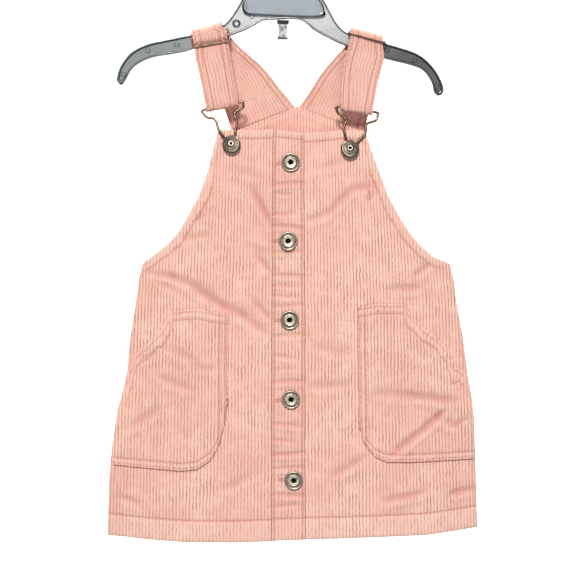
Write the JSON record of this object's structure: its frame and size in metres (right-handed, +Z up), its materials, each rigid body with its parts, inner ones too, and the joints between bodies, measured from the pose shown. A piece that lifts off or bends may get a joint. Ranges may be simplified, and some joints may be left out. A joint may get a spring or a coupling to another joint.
{
  "type": "corduroy pinafore dress on a hanger",
  "caption": "Sleeveless bib-front corduroy dress with button placket, patch pockets, crossed back straps, wire buckles and adjusters, hanging on a moulded hanger",
  "frame": {"origin": "the point inside the hanger's hook where a rail carries it", "axes": "+Z up, the garment's front faces -Y, the wearer's left is at +X"},
  "size_m": [0.3602, 0.0402, 0.6137],
  "materials": {
    "corduroy": "wide-wale cotton corduroy, dusty pink, soft pile with a faint sheen on the wales",
    "button_metal": "antique nickel-plated brass, grooved ring round a dished middle",
    "buckle_wire": "antique copper-plated wire, worn bright on the outer curves",
    "hanger_plastic": "moulded smoke-grey plastic, glossy",
    "hook_wire": "bright zinc-plated wire"
  },
  "bodies": {
    "root": {"right_front": "corduroy", "left_front": "corduroy", "placket": "corduroy", "back_panel": "corduroy", "pocket_right": "corduroy", "pocket_left": "corduroy", "strap_right": "corduroy", "strap_left": "corduroy", "placket_button_1": "button_metal", "placket_button_2": "button_metal", "placket_button_3": "button_metal", "placket_button_4": "button_metal", "placket_button_5": "button_metal", "bib_button_right": "button_metal", "bib_button_left": "button_metal", "buckle_right": "buckle_wire", "buckle_left": "buckle_wire", "slider_right": "buckle_wire", "slider_left": "buckle_wire", "hanger_body": "hanger_plastic", "hanger_plate": "hanger_plastic", "hanger_clip": "hanger_plastic", "hanger_hook": "hook_wire"}
  },
  "joints": []
}
